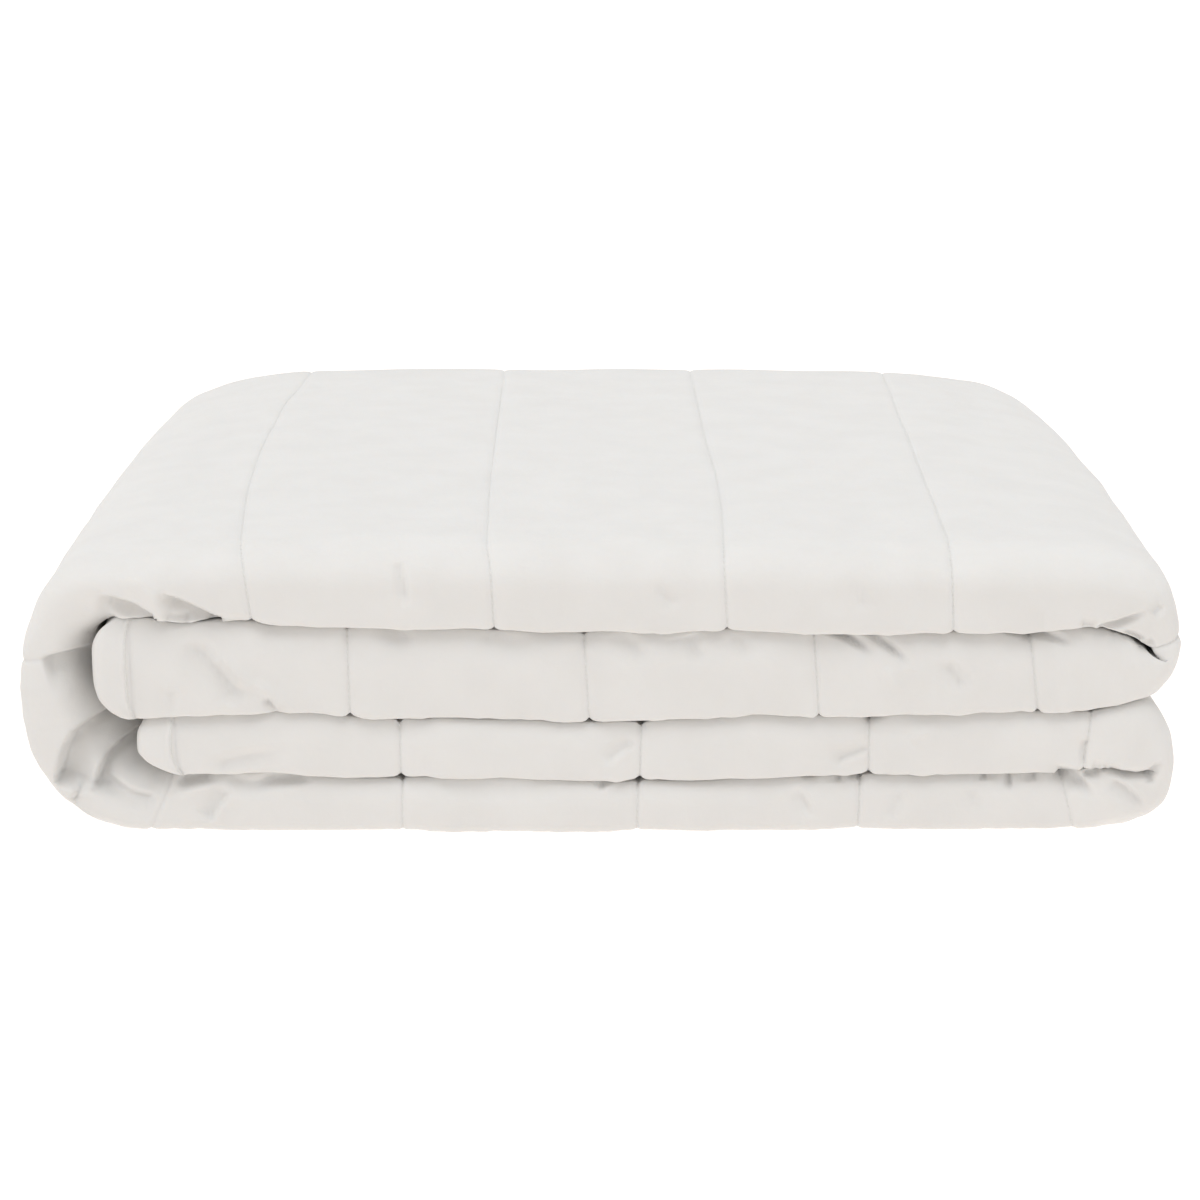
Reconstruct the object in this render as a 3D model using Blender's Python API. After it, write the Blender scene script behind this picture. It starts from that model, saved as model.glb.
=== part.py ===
"""Weighted blanket, quilted in squares, folded in three across its width and in four along its length.

The blanket is one filled, quilted cloth of 1.40 by 2.00 m. It is folded in three across its width,
which makes a long strip of three plies with a rounded fold along the front. The strip's two ends are
folded in to the middle, and the strip is then folded in half: four bands lie on each other, the two
hemmed ends are inside the big bend on the left, and two tight bends are on the right. Metres, +Z up.
The front fold faces -Y, and the origin is the middle of the underside.
"""

import math
from collections import namedtuple

import bmesh
import bpy

# The folded stack
WIDTH = 0.500  # along X, from the left bend to the right bends
DEPTH = 0.467  # along Y: a third of the blanket's width of 1.40 m
LEFT = -WIDTH / 2
RIGHT = WIDTH / 2
FRONT = -DEPTH / 2
BACK = DEPTH / 2
NARROWING = 0.036  # how much narrower the stack is at the back, as a share of its width
CROWN = 0.003  # how much higher the middle of the top is than its front and back
PLIES = 3
BAND_GAP = 0.0009  # between two bands
PLY_GAP = 0.0007  # between two plies of a band

# Quilting: squares of 0.10 m, sewn through the filling
SEAM_DIP = 0.0024  # how far a seam is drawn in on each outer face
SEAM_SHOULDER = 0.011  # from a seam to where the square is full
CROSS_SEAMS = (0.060, 0.160, 0.260, 0.360)  # along the outer ply, from the front fold
CROSS_DIP = 0.0016
LONGEST_STEP = 0.036  # between two sections of a straight band

# Hem of the strip's two ends, sewn down all along
HEM = 0.0155  # from the edge to its line of stitches
HEM_DIP = 0.0016
HEM_ROUND = ((0.0090, 1.00), (0.0038, 0.80), (0.0, 0.48))  # from the edge, share of the thickness

# Height of the faces between the bands, at stations across the stack
Levels = namedtuple("Levels", "x gap_34 gap_23 gap_12 top")
LEVELS = (
    Levels(-0.222, 0.0245, 0.0505, 0.0920, 0.1190),
    Levels(-0.190, 0.0250, 0.0510, 0.0920, 0.1200),
    Levels(-0.100, 0.0235, 0.0515, 0.0920, 0.1225),
    Levels(0.015, 0.0225, 0.0485, 0.0895, 0.1235),
    Levels(0.120, 0.0225, 0.0510, 0.0885, 0.1225),
    Levels(0.185, 0.0230, 0.0530, 0.0895, 0.1205),
    Levels(0.205, 0.0270, 0.0560, 0.0895, 0.1200),
    Levels(0.240, 0.0285, 0.0575, 0.0890, 0.1200),
)

# Bands in the order in which the strip runs: the levels that each lies between, the X where it
# starts and ends, its seams, and how far its front fold is drawn back
Band = namedtuple("Band", "below above start end seams front")
BANDS = (
    Band("gap_23", "gap_12", -0.2200, 0.2185, (-0.1081, -0.0061, 0.0941, 0.1881), 0.000),
    Band("gap_12", "top", 0.2185, -0.2050, (0.1535, 0.0549, -0.0458, -0.1505), 0.000),
    Band("floor", "gap_34", -0.1980, 0.2200, (-0.0852, 0.0164, 0.1116, 0.2033), 0.002),
    Band("gap_34", "gap_23", 0.2200, -0.2000, (0.2065, 0.1168, 0.0173, -0.0861), 0.001),
)

# Bends between the bands: outermost X, the strip's half thickness there, the angles of its seams
# counted from its start, the angle between sections, how much fuller its outer corner is in its
# first and second quarter, and how far its front and back folds are drawn in
Bend = namedtuple("Bend", "reach half seams step fuller_first fuller_last front back")
BENDS = (
    Bend(RIGHT, 0.0145, (85,), 22.5, 0.36, 0.06, 0.004, 0.022),
    Bend(LEFT, 0.0088, (70, 168), 18.0, 0.10, 0.00, 0.003, 0.026),
    Bend(RIGHT - 0.0016, 0.0134, (), 22.5, 0.00, 0.36, 0.004, 0.022),
)

# The section's rounded ends
NOSE = 1.15  # depth of the front fold, as a share of the half thickness
NOSE_STEPS = 6
BACK_STEPS = 5
EDGE_STEPS = 3
INSIDE_STEPS = 4
PLY_END_ROOM = 0.003  # between the innermost ply's edge and the front fold round it
EDGE_SHORT = 0.006  # how far the free edge stays short of the back fold

CLOTH_COLOUR = (0.80, 0.78, 0.75, 1.0)
CLOTH_ROUGHNESS = 0.92
SHARP_ANGLE = math.radians(50)

# A section of the strip: its middle, its outward direction, its half thickness, how much thicker
# it is outward, the share of a full seam drawn in there, the crown, and its front and back ends
Section = namedtuple("Section", "x z nx nz half fuller dip crown front back")


def blend(a, b, share):
    """From a to b, level at both."""
    share = min(1.0, max(0.0, share))
    return a + (b - a) * (1 - math.cos(math.pi * share)) / 2


def level(name, x):
    """Height of a face between two bands, at x."""
    if name == "floor":
        return 0.0
    if x <= LEVELS[0].x:
        return getattr(LEVELS[0], name)
    for low, high in zip(LEVELS, LEVELS[1:]):
        if x <= high.x:
            share = (x - low.x) / (high.x - low.x)
            return blend(getattr(low, name), getattr(high, name), share)
    return getattr(LEVELS[-1], name)


def band_place(band, x):
    """(height of the middle, half thickness) of a band at x."""
    below = level(band.below, x)
    above = level(band.above, x)
    if band.below != "floor":
        below += BAND_GAP / 2
    if band.above != "top":
        above -= BAND_GAP / 2
    return (below + above) / 2, (above - below) / 2


def band_stops(band, hem_at):
    """X of each section along a band, with the share of a full seam that is drawn in there."""
    low, high = sorted((band.start, band.end))
    seams = {x: 1.0 for x in band.seams}
    room = {low: 0.0, high: 0.0}
    if hem_at is not None:
        seams[hem_at + HEM] = HEM_DIP / SEAM_DIP
        room = {hem_at + HEM_ROUND[0][0]: 0.0, high: 0.0}
    stops = dict(room)
    for x in seams:
        for beside in (x - SEAM_SHOULDER, x + SEAM_SHOULDER):
            clear = min(abs(beside - other) for other in list(seams) + list(room))
            if min(room) < beside < max(room) and clear > SEAM_SHOULDER / 2:
                stops[beside] = 0.0
    stops.update(seams)
    placed = sorted(stops)
    for a, b in zip(placed, placed[1:]):
        parts = math.ceil((b - a) / LONGEST_STEP)
        for i in range(1, parts):
            stops[a + (b - a) * i / parts] = 0.0
    return sorted(stops.items(), reverse=band.end < band.start)


def band_sections(band, hem_at=None):
    """Sections along a straight band. Its outer face is below if it runs to the right."""
    outward = -1 if band.end > band.start else 1
    crown = CROWN if band.above == "top" else 0.0
    found = []
    for x, dip in band_stops(band, hem_at):
        middle, half = band_place(band, x)
        found.append(Section(x, middle, 0, outward, half, 1, dip, crown, band.front, 0))
    return found


def hem_sections(beside, edge):
    """The hemmed end of the strip, rounded to its edge."""
    return [
        beside._replace(x=edge + inward, half=beside.half * share, dip=0.0)
        for inward, share in HEM_ROUND[1:]
    ]


def bend_angles(bend):
    """Angles of the sections round a bend, with the share of a full seam that is drawn in there."""
    angles = {angle: 1.0 for angle in bend.seams}
    for i in range(1, round(180 / bend.step)):
        angle = i * bend.step
        if all(abs(angle - seam) > bend.step * 0.45 for seam in bend.seams):
            angles[angle] = 0.0
    return sorted(angles.items())


def bend_sections(bend, before, after):
    """Sections round a bend, from the last of one band to the first of the next."""
    side = math.copysign(1, bend.reach)
    rise = (after.z - before.z) / 2
    reach = abs(bend.reach - (before.x + after.x) / 2) - bend.half
    found = []
    for angle, dip in bend_angles(bend):
        turn = math.radians(angle)
        across = side * abs(rise) * math.sin(turn)
        up = -math.copysign(reach, rise) * math.cos(turn)
        size = math.hypot(across, up)
        near_half = before.half if angle < 90 else after.half
        fuller = bend.fuller_first if angle < 90 else bend.fuller_last
        found.append(
            Section(
                x=blend(before.x, after.x, angle / 180) + side * reach * math.sin(turn),
                z=(before.z + after.z) / 2 - rise * math.cos(turn),
                nx=across / size,
                nz=up / size,
                half=bend.half + (near_half - bend.half) * abs(math.cos(turn)) ** 3,
                fuller=1 + fuller * math.sin(2 * turn) ** 2,
                dip=dip,
                crown=0.0,
                front=blend(before.front, after.front, angle / 180) + bend.front * math.sin(turn),
                back=bend.back * math.sin(turn) ** 2,
            )
        )
    return found


def strip_sections():
    """Every section of the strip, from one hemmed end to the other."""
    first, second, third, last = (
        band_sections(BANDS[0], hem_at=BANDS[0].start),
        band_sections(BANDS[1]),
        band_sections(BANDS[2]),
        band_sections(BANDS[3], hem_at=BANDS[3].end),
    )
    found = list(reversed(hem_sections(first[0], BANDS[0].start))) + first
    for bend, band in zip(BENDS, (second, third, last)):
        found += bend_sections(bend, found[-1], band[0]) + band
    return found + hem_sections(last[-1], BANDS[3].end)


def arc(y, n, deep, high, start, end, steps):
    """Points inside an elliptical arc round (y, n), in degrees: 0 is +Y and 90 is outward."""
    found = []
    for i in range(1, steps):
        angle = math.radians(start + (end - start) * i / steps)
        found.append((y + deep * math.cos(angle), n + high * math.sin(angle)))
    return found


def section_points(section):
    """The strip's three plies at one section, as (y, n) points; n counts outward from the middle."""
    dip = SEAM_DIP * section.dip
    face = section.half - dip
    ply_end = section.half / PLIES + PLY_GAP / 2  # outer side of the slit round the innermost ply
    ply_face = section.half / PLIES - PLY_GAP / 2  # face of the innermost ply
    ply = section.half * 2 / PLIES - PLY_GAP
    front = FRONT + section.front
    back = BACK - section.back
    nose = NOSE * section.half
    turn = section.half * 2 / PLIES  # depth of the fold at the back

    # The outer ply from the back to the front, with its cross seams
    points = [(back - turn, face)]
    for at in reversed(CROSS_SEAMS):
        rise = section.crown * math.sin(math.pi * at / DEPTH)
        points.append((front + at + SEAM_SHOULDER, face + rise))
        points.append((front + at, min(face, section.half - CROSS_DIP) + rise))
        points.append((front + at - SEAM_SHOULDER, face + rise))
    points.append((front + nose, face))
    # The rounded fold at the front
    points += arc(front + nose, 0, nose - dip, face, 90, 270, NOSE_STEPS)
    # The inner ply, to its free edge near the back
    edge = back - EDGE_SHORT - ply / 2
    points += [(front + at, -face) for at in (nose, DEPTH / 3, DEPTH * 2 / 3)]
    points.append((edge, -face))
    points += arc(edge, -(face + ply_end) / 2, ply / 2, (face - ply_end) / 2, -90, 90, EDGE_STEPS)
    points.append((edge, -ply_end))
    # Forward on its other face, and round the inside of the front fold
    hollow = front + dip + ply + ply_end
    points.append((hollow, -ply_end))
    points += arc(hollow, 0, ply_end, ply_end, 270, 90, INSIDE_STEPS)
    points.append((hollow, ply_end))
    # Back to the end of the slit between the outer ply and the innermost one
    points.append((back - ply, ply_end))
    points.append((back - ply, ply_face))
    # The innermost ply, forward to its edge and back again
    end = hollow + PLY_END_ROOM
    points.append((end, ply_face))
    points += arc(end, 0, ply_face, ply_face, 90, 270, EDGE_STEPS)
    points.append((end, -ply_face))
    points.append((back - turn, -ply_face))
    # The fold at the back
    points += arc(back - turn, (face - ply_face) / 2, turn, (face + ply_face) / 2, -90, 90, BACK_STEPS)
    return points


def place(section, y, n):
    """Where a point of a section lies in the folded stack."""
    outward = n * section.fuller if n > 0 else n
    narrowed = 1 - NARROWING * ((y - FRONT) / DEPTH) ** 2
    return (section.x + outward * section.nx) * narrowed, y, section.z + outward * section.nz


def blanket_mesh(name):
    """A loft through the sections, closed by the strip's two hemmed ends."""
    work = bmesh.new()
    rings = [
        [work.verts.new(place(section, y, n)) for y, n in section_points(section)]
        for section in strip_sections()
    ]
    for ring, following in zip(rings, rings[1:]):
        for i in range(len(ring)):
            work.faces.new((ring[i - 1], ring[i], following[i], following[i - 1]))
    work.faces.new(reversed(rings[0]))
    work.faces.new(rings[-1])
    bmesh.ops.recalc_face_normals(work, faces=work.faces)
    mesh = bpy.data.meshes.new(name)
    work.to_mesh(mesh)
    work.free()
    return mesh


def cloth_material(name):
    """Off-white cotton, matt."""
    material = bpy.data.materials.new(name)
    material.use_nodes = True
    shader = material.node_tree.nodes["Principled BSDF"]
    shader.inputs["Base Color"].default_value = CLOTH_COLOUR
    shader.inputs["Roughness"].default_value = CLOTH_ROUGHNESS
    shader.inputs["Metallic"].default_value = 0.0
    return material


def main():
    for old in list(bpy.data.objects):
        bpy.data.objects.remove(old)
    collection = bpy.data.collections.new("weighted_blanket")
    bpy.context.scene.collection.children.link(collection)
    mesh = blanket_mesh("blanket")
    mesh.materials.append(cloth_material("quilted_cotton"))
    mesh.shade_smooth()
    mesh.set_sharp_from_angle(angle=SHARP_ANGLE)
    collection.objects.link(bpy.data.objects.new("blanket", mesh))


main()
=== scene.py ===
import math

import bmesh
import bpy
import numpy as np
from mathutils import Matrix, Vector


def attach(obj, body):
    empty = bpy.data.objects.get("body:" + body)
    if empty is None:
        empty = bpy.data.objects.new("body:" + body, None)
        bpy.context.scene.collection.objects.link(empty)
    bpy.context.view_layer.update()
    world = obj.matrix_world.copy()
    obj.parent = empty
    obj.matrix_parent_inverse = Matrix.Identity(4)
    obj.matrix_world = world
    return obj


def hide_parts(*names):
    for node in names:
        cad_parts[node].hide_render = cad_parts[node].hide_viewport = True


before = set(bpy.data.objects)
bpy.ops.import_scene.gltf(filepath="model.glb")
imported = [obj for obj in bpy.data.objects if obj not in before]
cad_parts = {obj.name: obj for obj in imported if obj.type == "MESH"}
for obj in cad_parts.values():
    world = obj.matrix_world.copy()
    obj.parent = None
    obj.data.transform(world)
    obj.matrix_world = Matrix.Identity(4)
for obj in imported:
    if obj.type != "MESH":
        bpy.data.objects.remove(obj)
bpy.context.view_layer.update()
print("frame loaded")


def addObject(name, data):
    made = bpy.data.objects.new(name, data)
    bpy.context.scene.collection.objects.link(made)
    return made


# The camera, from the photograph: its focal length in px of a 1200 px frame, the row of the horizon,
# and the row and the scale where the blanket's front meets the floor
view = {
    "focal": 3900.0, "frame": 1200.0, "sensor": 36, "horizonRow": -300.0,
    "footRow": 829.0, "footScale": 2312.0, "footY": -0.2265,
}
pitch = math.atan((view["frame"] / 2 - view["horizonRow"]) / view["focal"])
forward = Vector((0, math.cos(pitch), -math.sin(pitch)))
upward = Vector((0, math.sin(pitch), math.cos(pitch)))
lift = (view["frame"] / 2 - view["footRow"]) / view["focal"]
cameraPlace = Vector((0, view["footY"], 0)) - view["focal"] / view["footScale"] * (forward + lift * upward)
cameraData = bpy.data.cameras.new("camera")
cameraData.sensor_width = view["sensor"]
cameraData.lens = view["sensor"] * view["focal"] / view["frame"]
cameraData.clip_end = 100
camera = addObject("camera", cameraData)
camera.location = cameraPlace
camera.rotation_euler = (math.pi / 2 - pitch, 0, 0)
bpy.context.scene.camera = camera
bpy.context.scene.view_settings.view_transform = "Standard"


def seenAt(points):
    # where points in metres appear in the frame, in px from its left and top
    ray = points - np.array(cameraPlace)
    away = ray @ np.array(forward)
    centre = view["frame"] / 2
    column = centre + view["focal"] * ray[..., 0] / away
    row = centre - view["focal"] * (ray @ np.array(upward)) / away
    return column, row


# The fold, in metres. A strip of three plies runs from one hemmed end to the other: band 2 to the
# right, up the tight bend, band 1 back to the left on top, down the big bend, band 4 on the floor,
# up the low bend, and band 3 back to its hemmed end.
fold = {
    "front": -0.2335,
    "back": 0.2335,
    "bandGap": 0.0003,
    "plyGap": 0.0008,
    "frontBlend": (-0.03, 0.02, 0.14),  # a front's middle, and where beside it the ends' value takes over
    "plainLean": 0.0004,  # how far a front falls back where its band or bend says nothing else
    "sideDrawIn": (0.0118, 0.0132),  # how far the left and the right side draw in at the back
    "sideDrop": (0.040, 0.048),  # the shares of their height that the left and the right lose there
    "rightDrawIn": 0.0004,  # how far the right side draws in midway
    "drawInFrom": (0.145, 0.250),  # the stretch of x over which the sides begin to draw in
    "crown": 0.0030,  # how far the top swells midway
    "bigTilt": 0.0065,  # how far the big bend's front falls back from its rim to its inner side
    "tiltDeep": (0.090, 0.050),  # how far back that has faded, and where it is full
    "tiltEnds": 0.016,  # the stretch of the strip over which it starts and ends
    "ripple": (0.019, 0.033, 0.051),  # wave lengths of the gaps' unevenness
    "rippleHeight": 0.00022,
    "rippleEnds": 0.02,
    "rowsPerBand": 49,
    "topFacing": (0.2, 0.95),  # how far up the outer side faces where the top begins and where it is full
    "topDepth": (0.2, 0.9),  # and how far out in the strip's thickness
    "crownEnds": (0.24, 0.12),
    "rightMiddle": (0.14, 0.24),
    "bowReach": 0.024,  # how far from a hemmed end its bow goes
}

# The floor, the gaps between the bands and the top, as (x, z) in mm
levels = {
    "floor": [(-250, 0), (250, 0)],
    "gap34": [
        (-182, 25.2), (-143, 26.1), (-125, 24.7), (-108, 23.9), (-56, 24.1), (-4, 23.0), (30, 22.3),
        (65, 23.4), (91, 24.1), (134, 24.7), (160, 25.0), (190, 25.8), (210, 27.2),
    ],
    "gap23": [
        (-195, 50.4), (-177, 51.7), (-151, 52.6), (-117, 52.4), (-99, 50.4), (-56, 50.4), (-30, 49.5),
        (4, 49.0), (39, 50.4), (65, 51.7), (108, 50.8), (134, 52.1), (169, 53.0), (205, 53.1), (221, 54.4),
    ],
    "gap12": [
        (-198, 94.2), (-186, 92.8), (-167, 92.2), (-151, 92.6), (-134, 91.0), (-73, 90.1), (-30, 88.6),
        (22, 88.2), (56, 89.3), (108, 88.0), (151, 88.1), (180, 88.6), (203, 89.8), (212, 90.2),
    ],
    "top": [
        (-200, 122.2), (-150, 124.4), (-100, 125.5), (20, 125.6), (120, 124.7), (170, 124.4), (205, 122.2),
    ],
}

# Bands in the strip's order. A seam has its x at the outer and at the inner side. "front" is how far
# the front stands back at the ends and in the middle. The front fold's upper and lower quarters have
# a depth and a power: a higher power is squarer. "lean" is how far the front falls back at its top.
bands = [
    {"name": "band2", "under": "gap23", "over": "gap12", "x": (-0.2174, 0.1970), "front": (0.0010, 0.0010),
     "seams": ((-0.1070, -0.1081), (-0.0045, -0.0069), (0.0939, 0.0914), (0.1876, 0.1836)),
     "upper": (0.0020, 3.5), "lower": (0.0038, 9.0), "lean": 0.0046},
    {"name": "band1", "under": "gap12", "over": "top", "x": (0.1950, -0.1880), "front": (0.0, 0.0),
     "seams": ((0.1493, 0.1507), (0.0524, 0.0543), (-0.0469, -0.0451), (-0.1527, -0.1486)),
     "upper": (0.0250, 2.1), "lower": (0.0038, 9.0), "lean": 0.0004},
    {"name": "band4", "under": "floor", "over": "gap34", "x": (-0.1830, 0.1900), "front": (0.0034, -0.0006),
     "seams": ((-0.1926, -0.1865), (-0.0852, -0.0852), (0.0160, 0.0164), (0.1112, 0.1120)),
     "upper": (0.0018, 3.2), "lower": (0.0052, 5.0), "lean": 0.0038},
    {"name": "band3", "under": "gap34", "over": "gap23", "x": (0.1970, -0.1990), "front": (0.0024, 0.0004),
     "seams": ((0.1155, 0.1155), (0.0176, 0.0170), (-0.0861, -0.0855)),
     "upper": (0.0018, 3.2), "lower": (0.0036, 8.0), "lean": 0.0034},
]

# Bends, in mm, a row for each section: outer x and z, inner x and z, how far the front and the back
# draw in, and the nose's depth and its power, outward and inward. Seams lie on the rows named in
# "seams". "lean" is how far the front falls back toward its outer and its inner corner, from row to row.
bends = {
    "rightBend": {
        "seams": (7,),
        "lean": ((0, 0.4, 4.6), (3, 0.4, 3.0), (5, 0.4, 0.6), (12, 0.4, 0.4)),
        "rows": [
            (218.0, 54.7, 215.0, 89.5, 1.0, 3, 6.0, 5.0, 2.0, 3.5),
            (230.0, 57.2, 222.4, 87.2, 1.2, 10, 8.0, 3.6, 2.2, 3.4),
            (238.8, 60.3, 227.7, 84.7, 1.8, 18, 10.5, 2.6, 2.6, 3.2),
            (244.8, 66.2, 232.2, 81.3, 3.0, 25, 11.5, 2.3, 3.2, 3.0),
            (248.1, 73.0, 236.2, 77.5, 4.0, 30, 11.5, 2.2, 3.8, 2.8),
            (249.4, 77.8, 239.2, 74.7, 4.2, 32, 11.5, 2.2, 4.2, 2.8),
            (249.8, 81.5, 237.8, 76.5, 4.0, 33, 11.5, 2.2, 4.2, 3.2),
            (249.8, 85.0, 235.0, 79.6, 3.6, 33, 12.0, 2.2, 4.2, 4.0),
            (248.7, 92.8, 231.8, 82.3, 3.0, 32, 13.0, 2.2, 4.2, 5.0),
            (246.8, 101.4, 227.6, 85.2, 2.2, 28, 15.0, 2.2, 4.2, 6.0),
            (242.7, 109.0, 222.6, 87.5, 1.4, 21, 18.0, 2.1, 4.0, 7.0),
            (235.4, 115.2, 217.8, 89.0, 0.8, 12, 21.0, 2.1, 4.0, 8.0),
            (224.4, 119.3, 214.0, 90.2, 0.2, 4, 24.0, 2.1, 3.8, 9.0),
        ],
    },
    "leftBend": {
        "seams": (5,),
        "lean": ((0, 0.4, 0.4), (13, 0.4, 3.0)),
        "rows": [
            (-211.0, 119.6, -203.5, 93.8, 0.0, 5, 25.0, 2.1, 4.5, 6.5),
            (-227.5, 114.5, -209.2, 93.0, 0.6, 14, 20.0, 2.1, 6.0, 4.2),
            (-237.0, 105.7, -213.2, 90.3, 1.4, 22, 16.0, 2.1, 8.5, 2.5),
            (-242.6, 96.0, -216.0, 87.0, 2.0, 28, 14.0, 2.1, 13.0, 1.9),
            (-246.5, 85.0, -217.8, 83.2, 2.4, 32, 12.0, 2.0, 17.0, 1.7),
            (-248.7, 74.5, -218.4, 77.8, 2.8, 34, 11.0, 2.0, 20.5, 1.6),
            (-249.1, 66.0, -218.6, 70.2, 2.8, 35, 10.0, 2.0, 23.0, 1.6),
            (-248.5, 56.0, -218.0, 60.0, 2.8, 35, 10.0, 2.0, 23.5, 1.6),
            (-246.8, 44.0, -213.6, 50.9, 2.8, 34, 10.0, 2.0, 23.5, 1.6),
            (-243.4, 31.5, -206.0, 45.8, 2.8, 30, 10.0, 2.0, 22.5, 1.6),
            (-237.5, 21.2, -201.6, 39.5, 2.8, 24, 10.0, 2.0, 21.0, 1.6),
            (-230.0, 12.6, -199.8, 33.5, 2.8, 17, 10.0, 2.1, 18.5, 1.7),
            (-218.6, 5.0, -198.6, 28.2, 3.0, 10, 9.0, 2.4, 13.0, 2.2),
            (-204.0, 0.4, -193.5, 25.0, 3.4, 3, 7.0, 3.0, 8.0, 3.4),
        ],
    },
    "lowBend": {
        "seams": (0, 13),
        "lean": ((0, 0.4, 3.8), (3, 0.4, 2.6), (6, 0.4, 0.4),
                 (10, 1.0, 0.4), (13, 3.4, 0.4)),
        "rows": [
            (204.5, 0.1, 198.4, 25.8, 3.4, 1, 5.5, 4.2, 1.8, 3.2),
            (217.5, 0.8, 210.0, 27.0, 3.2, 5, 7.5, 2.9, 2.0, 3.2),
            (230.5, 3.0, 219.0, 26.9, 3.2, 12, 9.0, 2.5, 2.4, 3.0),
            (240.3, 7.4, 227.0, 26.1, 3.4, 20, 10.0, 2.3, 2.8, 2.8),
            (245.2, 13.0, 233.0, 25.6, 3.8, 26, 10.5, 2.2, 3.4, 2.6),
            (247.0, 19.5, 237.2, 25.5, 4.0, 30, 10.5, 2.2, 4.0, 2.6),
            (247.7, 26.8, 238.6, 25.9, 4.0, 31, 10.5, 2.2, 4.2, 2.8),
            (247.5, 34.0, 236.4, 26.3, 3.8, 30, 11.0, 2.2, 4.2, 3.2),
            (246.0, 41.0, 232.2, 26.6, 3.6, 26, 11.0, 2.2, 4.0, 4.0),
            (242.9, 47.8, 227.7, 27.0, 3.2, 20, 11.0, 2.3, 3.8, 5.0),
            (239.0, 53.6, 223.5, 27.6, 2.8, 14, 10.0, 2.4, 3.6, 6.0),
            (233.6, 57.5, 219.5, 27.8, 2.6, 8, 7.0, 2.4, 3.6, 7.0),
            (225.0, 55.7, 215.0, 27.7, 2.4, 4, 4.0, 2.8, 3.6, 7.6),
            (210.8, 53.0, 207.9, 27.5, 2.4, 1, 1.8, 3.2, 3.6, 8.0),
        ],
    },
}
rowUnits = (1000,) * 7 + (1, 1000, 1)
columns = ("ox", "oz", "ix", "iz", "front", "back", "outDepth", "outPower", "inDepth", "inPower",
           "outLean", "inLean")
zones = ("band2", "rightBend", "band1", "leftBend", "band4", "lowBend", "band3")
topZones = ("rightBend", "band1", "leftBend")

# The top's seams bow sideways on their way back: (distance behind the front, x) in mm; its sides don't
topSide = 235
topSeams = (
    ((0, 149.3), (32, 149.6), (150, 149.2), (330, 150.0), (450, 151.8)),
    ((0, 52.4), (15, 52.8), (80, 54.0), (160, 53.4), (247, 50.5), (450, 48.4)),
    ((0, -46.9), (15, -48.4), (133, -50.3), (450, -51.2)),
    ((0, -152.7), (32, -155.1), (115, -160.3), (208, -162.9), (354, -161.4), (450, -155.6)),
)


def isOn(zoneOf, *names):
    # whether each place lies on one of the named bands and bends
    return np.isin(zoneOf, [zones.index(name) for name in names])


def smoothStep(low, high, value):
    share = np.clip((value - low) / (high - low), 0, 1)
    return share * share * (3 - 2 * share)


def levelAt(name, x):
    # the height of the floor, of a gap or of the top at x
    points = np.array(levels[name]) / 1000
    level = np.interp(x, points[:, 0], points[:, 1])
    if name in ("floor", "top"):
        return level
    start, end, ends = points[0, 0], points[-1, 0], fold["rippleEnds"]
    phase = points[2, 1] * 700  # another one for each gap
    ripple = sum(np.sin(2 * math.pi * (x / length + phase * length)) for length in fold["ripple"])
    inside = smoothStep(start, start + ends, x) * smoothStep(end, end - ends, x)
    return level + fold["rippleHeight"] * ripple * inside


def bandRows(band):
    start, end = band["x"]
    xs = np.linspace(start, end, fold["rowsPerBand"])
    gap = fold["bandGap"] / 2
    low = levelAt(band["under"], xs) + (0 if band["under"] == "floor" else gap)
    high = levelAt(band["over"], xs) - (0 if band["over"] == "top" else gap)
    sides = [(low, band["lower"], fold["plainLean"]), (high, band["upper"], band["lean"])]
    if end < start:  # the strip's outer side is up
        sides.reverse()
    (outerZ, outerNose, outerLean), (innerZ, innerNose, innerLean) = sides
    atEnds, atMiddle = band["front"]
    centre, near, far = fold["frontBlend"]
    standBack = atMiddle + (atEnds - atMiddle) * smoothStep(near, far, abs(xs - centre))
    plain = [0, *outerNose, *innerNose, outerLean, innerLean]
    return np.column_stack([xs, outerZ, xs, innerZ, standBack] + [value + 0 * xs for value in plain])


def smoothCurve(rows, at, path):
    # a cubic through the rows, each at its own place along the path
    step = np.diff(path)[:, None]
    slope = np.diff(rows, axis=0) / step
    mixed = (slope[:-1] * step[1:] + slope[1:] * step[:-1]) / (step[1:] + step[:-1])
    tangent = np.vstack([slope[:1], mixed, slope[-1:]])
    i = np.clip(np.searchsorted(path, at, side="right") - 1, 0, len(path) - 2)
    length = step[i]
    s = ((at - path[i]) / length[:, 0])[:, None]
    return ((2 * s**3 - 3 * s**2 + 1) * rows[i] + (s**3 - 2 * s**2 + s) * length * tangent[i]
            + (3 * s**2 - 2 * s**3) * rows[i + 1] + (s**3 - s**2) * length * tangent[i + 1])


def pathLengths(points):
    # how far along a line each of its points lies
    return np.concatenate([[0], np.cumsum(np.linalg.norm(np.diff(points, axis=0), axis=1))])


def zoneAt(path):
    return rowZone[np.clip(np.searchsorted(rowPath, path, side="right") - 1, 0, len(rowZone) - 1)]


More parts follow.
